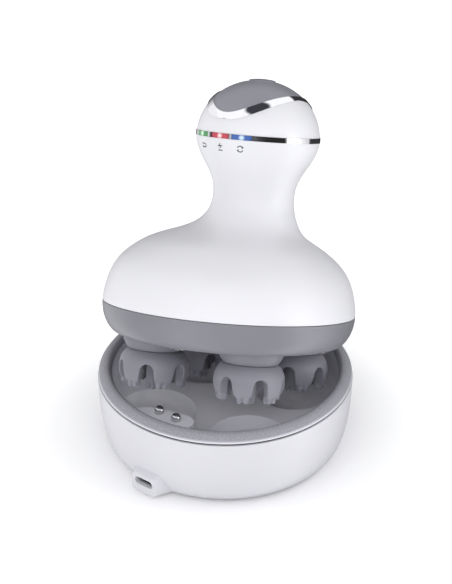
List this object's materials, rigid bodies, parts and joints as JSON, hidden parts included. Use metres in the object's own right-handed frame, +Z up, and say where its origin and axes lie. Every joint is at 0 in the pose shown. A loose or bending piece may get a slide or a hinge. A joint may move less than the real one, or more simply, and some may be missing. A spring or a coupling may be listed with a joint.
{
  "type": "scalp massager brush",
  "caption": "Handheld scalp massager with a bell body, narrow neck, ball grip and rotating silicone heads, leaning in its round charging dock.",
  "frame": {"origin": "on the floor, under the middle of the box around the whole object", "axes": "+Z up, -Y towards the dock's front with its USB socket, +X to the right seen from the front"},
  "size_m": [0.112, 0.1256, 0.154],
  "materials": {
    "white_housing": "satin gloss, injection moulded",
    "white_dock": "satin gloss, injection moulded",
    "grey_skirt": "satin",
    "grey_trim": "satin",
    "grey_pad": "satin",
    "button_grey": "satin",
    "chrome_trim": "polished plating",
    "lens_green": "lit light window",
    "lens_red": "lit light window",
    "lens_blue": "lit light window",
    "silicone": "soft matt silicone",
    "hub_plastic": "matt",
    "spindle_steel": "ground",
    "acetal_gear": "natural acetal",
    "bush_bronze": "sintered",
    "chassis_plastic": "matt",
    "motor_can": "zinc plated",
    "battery_wrap": "shrink wrapped cell",
    "circuit_board": "solder mask",
    "switch_black": "matt",
    "contact_plate": "polished plating",
    "screw_steel": "plain",
    "wire_red": "insulated wire",
    "grey_tray": "fine grain texture",
    "gasket_black": "matt",
    "cover_grey": "fine grain texture",
    "foot_rubber": "matt",
    "usb_steel": "drawn"
  },
  "bodies": {
    "dock": {"dock_shell": "white_dock", "dock_tray": "grey_tray", "rim_gasket": "gasket_black", "bottom_cover": "cover_grey", "rubber_feet": "foot_rubber", "dock_board": "circuit_board", "usb_socket": "usb_steel", "pin_block": "cover_grey", "cover_screws": "screw_steel", "dock_wiring": "wire_red", "pin_spring_left": "screw_steel", "pin_spring_right": "screw_steel"},
    "handheld": {"housing_shell": "white_housing", "skirt_ring": "grey_skirt", "base_plate": "grey_trim", "ball_cap": "white_housing", "chrome_ring": "chrome_trim", "trim_bezel": "chrome_trim", "touch_pad": "grey_pad", "control_board": "circuit_board", "button_switch": "switch_black", "battery_cell": "battery_wrap", "battery_cradle": "chassis_plastic", "gear_chassis": "chassis_plastic", "motor": "motor_can", "reduction_gearbox": "motor_can", "charge_pad_left": "contact_plate", "charge_pad_right": "contact_plate", "spindle_bushes": "bush_bronze", "base_screws": "screw_steel", "chassis_screws": "screw_steel", "handheld_wiring": "wire_red", "light_lens_green": "lens_green", "light_lens_red": "lens_red", "light_lens_blue": "lens_blue", "head_collar_front_right": "grey_trim", "head_collar_back_right": "grey_trim", "head_collar_back_left": "grey_trim", "head_collar_front_left": "grey_trim"},
    "drive_train": {"output_shaft": "spindle_steel", "drive_gear": "acetal_gear"},
    "power_button": {"power_button": "button_grey"},
    "charging_pin_left": {"charging_pin_left": "contact_plate"},
    "charging_pin_right": {"charging_pin_right": "contact_plate"},
    "massage_head_front_right": {"head_gear_front_right": "acetal_gear", "spindle_front_right": "spindle_steel", "head_core_front_right": "hub_plastic", "silicone_head_front_right": "silicone"},
    "massage_head_back_right": {"head_gear_back_right": "acetal_gear", "spindle_back_right": "spindle_steel", "head_core_back_right": "hub_plastic", "silicone_head_back_right": "silicone"},
    "massage_head_back_left": {"head_gear_back_left": "acetal_gear", "spindle_back_left": "spindle_steel", "head_core_back_left": "hub_plastic", "silicone_head_back_left": "silicone"},
    "massage_head_front_left": {"head_gear_front_left": "acetal_gear", "spindle_front_left": "spindle_steel", "head_core_front_left": "hub_plastic", "silicone_head_front_left": "silicone"}
  },
  "joints": [
    {"name": "handheld_lift", "type": "slide", "parent": "dock", "child": "handheld", "axis": [0, 0, 1], "range_m": [0, 0.15]},
    {"name": "drive_spin", "type": "hinge", "parent": "handheld", "child": "drive_train", "pos_m": [0.00084, -0.00539, 0.05941], "axis": [-0.1958, 0.3702, 0.9081], "continuous": true},
    {"name": "head_spin_front_right", "type": "hinge", "parent": "handheld", "child": "massage_head_front_right", "pos_m": [0.02761, -0.02373, 0.06451], "axis": [-0.1958, 0.3702, 0.9081], "continuous": true},
    {"name": "head_spin_back_right", "type": "hinge", "parent": "handheld", "child": "massage_head_back_right", "pos_m": [0.02083, 0.01718, 0.04637], "axis": [-0.1958, 0.3702, 0.9081], "continuous": true},
    {"name": "head_spin_back_left", "type": "hinge", "parent": "handheld", "child": "massage_head_back_left", "pos_m": [-0.02302, 0.00747, 0.04087], "axis": [-0.1958, 0.3702, 0.9081], "continuous": true},
    {"name": "head_spin_front_left", "type": "hinge", "parent": "handheld", "child": "massage_head_front_left", "pos_m": [-0.01625, -0.03343, 0.05901], "axis": [-0.1958, 0.3702, 0.9081], "continuous": true},
    {"name": "power_button_press", "type": "slide", "parent": "handheld", "child": "power_button", "axis": [0.1958, -0.3702, -0.9081], "range_m": [0, 0.0006], "stiffness_N_per_m": 800, "springref_m": -0.0008},
    {"name": "charging_pin_press_left", "type": "slide", "parent": "dock", "child": "charging_pin_left", "axis": [0, 0, -1], "range_m": [0, 0.0015], "stiffness_N_per_m": 120, "springref_m": -0.002, "deforming": ["pin_spring_left"]},
    {"name": "charging_pin_press_right", "type": "slide", "parent": "dock", "child": "charging_pin_right", "axis": [0, 0, -1], "range_m": [0, 0.0015], "stiffness_N_per_m": 120, "springref_m": -0.002, "deforming": ["pin_spring_right"]}
  ],
  "couplings": [
    {"joint": "head_spin_front_right", "follows": "drive_spin", "ratio": -1.2857},
    {"joint": "head_spin_back_right", "follows": "drive_spin", "ratio": -1.2857},
    {"joint": "head_spin_back_left", "follows": "drive_spin", "ratio": -1.2857},
    {"joint": "head_spin_front_left", "follows": "drive_spin", "ratio": -1.2857}
  ]
}
